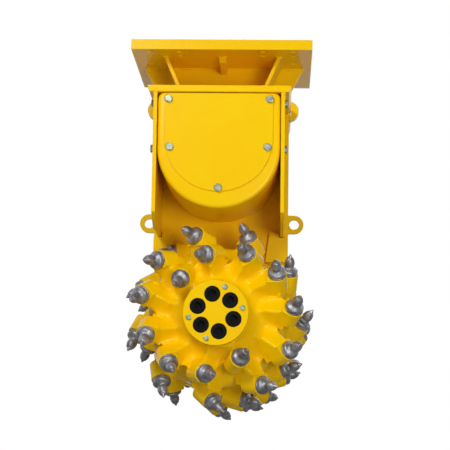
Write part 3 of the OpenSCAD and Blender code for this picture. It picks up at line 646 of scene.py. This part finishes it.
def make_bolts():
    cover_r = high("motor_cover").x
    cover_top = high("motor_cover").z
    cover_z = low("motor_cover").z + cover_r
    edge = cover_r - COVER_BOLT_MARGIN
    bolt_top, bolt_mid = cover_top - COVER_BOLT_DROP, cover_z - edge * MID_BOLT_Z_SHARE
    spots = [(-edge, bolt_top), (edge, bolt_top), (-edge * MID_BOLT_X_SHARE, bolt_mid),
             (edge * MID_BOLT_X_SHARE, bolt_mid), (0, cover_z - edge)]
    bolts("cover_bolts", "motor_cover_bolts",
          [move(x, ROOF_FRONT_Y, z) @ turn("X", 90) for x, z in spots], "root")

    guard = [move(side * GUARD_X, ROOF_FRONT_Y + GUARD_BOLT_INSET,
                  ROOF_TOP_Z - GUARD_BOLT_DROP - step * GUARD_BOLT_PITCH) @ turn("Y", 90 * side)
             for side in (LEFT, RIGHT) for step in (0, 1)]
    bolts("guard_strip_bolts", "guard_bolts", guard, "root")

    hub = move(0, high("rear_cover").y, MOTOR_Z)
    hatch_r = high("rear_cover").x - HATCH_BOLT_INSET
    rear = [hub @ turn("Y", (i + 0.5) * 360 / HATCH_BOLTS) @ move(hatch_r, 0, 0) @ turn("X", -90)
            for i in range(HATCH_BOLTS)]
    bolts("rear_hatch_bolts", "rear_cover_bolts", rear, "root")

    small = [move(0, end * HUB_REACH, DRUM_Z) @ turn("X", -90 * end) @ turn("Z", a)
             @ move(HUB_SCREW_R, 0, 0) for end in (FRONT, REAR) for a in HUB_SCREW_ANGLES]
    bolts("hub_screws", "end_plate_screws", small, "drum", af=16, height=6.5, shank_r=5)


# Welds

def weld(bm, path, radius=PLAIN_BEAD):
    """A weld bead along straight runs between points, with the ripple of its passes."""
    for start, stop in zip(path, path[1:]):
        start, stop = Vector(start), Vector(stop)
        length = (stop - start).length
        count = max(2, int(length / BEAD_STEP))
        turned_to = (stop - start).to_track_quat("Z", "Y").to_matrix().to_4x4()
        waves = [1 - RIPPLE_SHARE + RIPPLE_SHARE * math.sin(i * RIPPLE_TURN)
                 for i in range(count + 1)]
        profile = [(0, 0)] + [(radius * wave, length * i / count)
                              for i, wave in enumerate(waves)] + [(0, length)]
        stamp(bm, turned(profile, 8), Matrix.Translation(start) @ turned_to)


def make_welds():
    bm = bmesh.new()
    gussets, ribs, lug = "bracket_gussets_right", "bracket_centre_ribs", "lifting_lug_right"
    end_gap, foot_x = 6, CASE_X + 3
    for y in (-WEB_Y, WEB_Y):
        weld(bm, [(-WEB_X + end_gap, y, PLATE_LOW_Z), (WEB_X - end_gap, y, PLATE_LOW_Z)],
             STRONG_BEAD)
        weld(bm, [(-foot_x, y, ROOF_TOP_Z), (foot_x, y, ROOF_TOP_Z)], STRONG_BEAD)
        end = math.copysign(high(gussets).y, y)
        for side in (LEFT, RIGHT):
            for offset in (0, GUSSET_T):
                top = side * (high(gussets).x - offset)
                foot = side * (low(gussets).x + GUSSET_T - offset)
                weld(bm, [(top, y, PLATE_LOW_Z), (top, end, PLATE_LOW_Z)])
                weld(bm, [(foot, y, ROOF_TOP_Z), (foot, end, ROOF_TOP_Z)])
                weld(bm, [(top, y, PLATE_LOW_Z), (foot, y, ROOF_TOP_Z)])
            rib = side * high(ribs).x
            weld(bm, [(rib, y, PLATE_LOW_Z), (rib, end, PLATE_LOW_Z)])
            weld(bm, [(rib, y, PLATE_LOW_Z), (rib, y, low(ribs).z)])
    guard_low_z = low("guard_right").z + 30
    guard_ends = ((-CASE_Y, ROOF_FRONT_Y + 4), (CASE_Y, high("rear_guard_right").y - 4))
    for side in (LEFT, RIGHT):
        case_x, guard_x = side * CASE_X, side * GUARD_X
        weld(bm, [(case_x, -CASE_Y, ROOF_LOW_Z), (case_x, CASE_Y, ROOF_LOW_Z)], FINE_BEAD)
        for face_y, end_y in guard_ends:
            weld(bm, [(guard_x, end_y, ROOF_LOW_Z), (guard_x, face_y, ROOF_LOW_Z)], FINE_BEAD)
            weld(bm, [(guard_x, face_y, ROOF_LOW_Z), (guard_x, face_y, guard_low_z)])
        for y in (low(lug).y, high(lug).y):
            weld(bm, [(case_x, y, low(lug).z), (case_x, y, high(lug).z)], FINE_BEAD)
    new_piece("weld_beads", bm, "weld_enamel", "root")


# Oil ports

def make_ports():
    cap_r, foot_r, neck_r = 22.5, 23, 19
    ribs, rib_pitch = 7, 3.2
    port_x = high("port_caps").x - cap_r
    port_y = (low("port_caps").y + high("port_caps").y) / 2
    top = high("port_caps").z - ROOF_TOP_Z
    fitting = turned([(0, 0), (foot_r, 0), (foot_r, 10), (21, 12), (neck_r, 13),
                      (neck_r, top - 30), (0, top - 30)], 40)
    cap_ring = []
    for i in range(ribs):
        z = top - 26 + i * rib_pitch
        cap_ring += [(cap_r - 1.2, z), (cap_r, z + 0.8), (cap_r, z + 2.2)]
    cap = turned([(0, top - 28), (20, top - 28)] + cap_ring
                 + [(21, top - 1.5), (neck_r, top), (0, top)], 40)
    collar = hex_head(af=41, height=12)
    fittings, caps = bmesh.new(), bmesh.new()
    for side in (LEFT, RIGHT):
        place = move(side * port_x, port_y, ROOF_TOP_Z)
        stamp(fittings, fitting, place)
        stamp(fittings, collar, place @ move(0, 0, 13))
        stamp(caps, cap, place)
    new_piece("hose_fittings", fittings, "zinc_plated_steel", "root",
              ["port_fittings"])
    new_piece("travel_caps", caps, "yellow_enamel", "root", ["port_caps"])


# Carried-over nodes

def round_edges(piece, radius):
    """Welds a node's triangles, joins its flat faces and rounds its edges, as modifiers."""
    same_mm, flat_degrees, edge_degrees = 0.01, 0.5, 32
    joined = piece.modifiers.new("weld", "WELD")
    joined.merge_threshold = same_mm * MM
    flat = piece.modifiers.new("flat", "DECIMATE")
    flat.decimate_type = "DISSOLVE"
    flat.angle_limit = math.radians(flat_degrees)
    bevel = piece.modifiers.new("edges", "BEVEL")
    bevel.width = radius * MM
    bevel.segments = 2
    bevel.limit_method = "ANGLE"
    bevel.angle_limit = math.radians(edge_degrees)
    piece.modifiers.new("normals", "WEIGHTED_NORMAL").keep_sharp = True
    for face in piece.data.polygons:
        face.use_smooth = True


# Edge radii in millimetres
ROUNDED = {
    "adapter_plate": 2.5, "bracket_web": 2, "bracket_gussets_left": 2,
    "bracket_gussets_right": 2, "bracket_centre_ribs": 2, "bracket_ears": 3,
    "roof_plate": 3, "guard_left": 3, "guard_right": 3, "rear_guard_left": 3,
    "rear_guard_right": 3, "case_shields": 1, "motor_cover": 0.8, "rear_cover": 2,
    "gear_case_front": 3, "gear_case_rear": 3, "wear_plates": 3, "idler_caps": 1.5,
    "end_plate_front": 2.5, "end_plate_rear": 2.5, "clamp_screws": 1.5, "oil_plugs": 1.2,
    "lifting_lug_left": 3, "lifting_lug_right": 3,
}


def dress_frame():
    """Gives every carried-over node its material, and the plates and castings soft edges."""
    slots = {s["node"]: s["material_slot"] for s in frame["record"]["subparts"]}
    for name, piece in NODES.items():
        piece.data.materials.clear()
        piece.data.materials.append(MATERIALS[slots[name]])
    for name, radius in ROUNDED.items():
        round_edges(NODES[name], radius)


bpy.context.scene.view_settings.view_transform = "Standard"
make_camera()
make_world()
make_floor()
make_lamps()
dress_frame()
make_drums()
make_casing()
make_bolts()
make_welds()
make_ports()
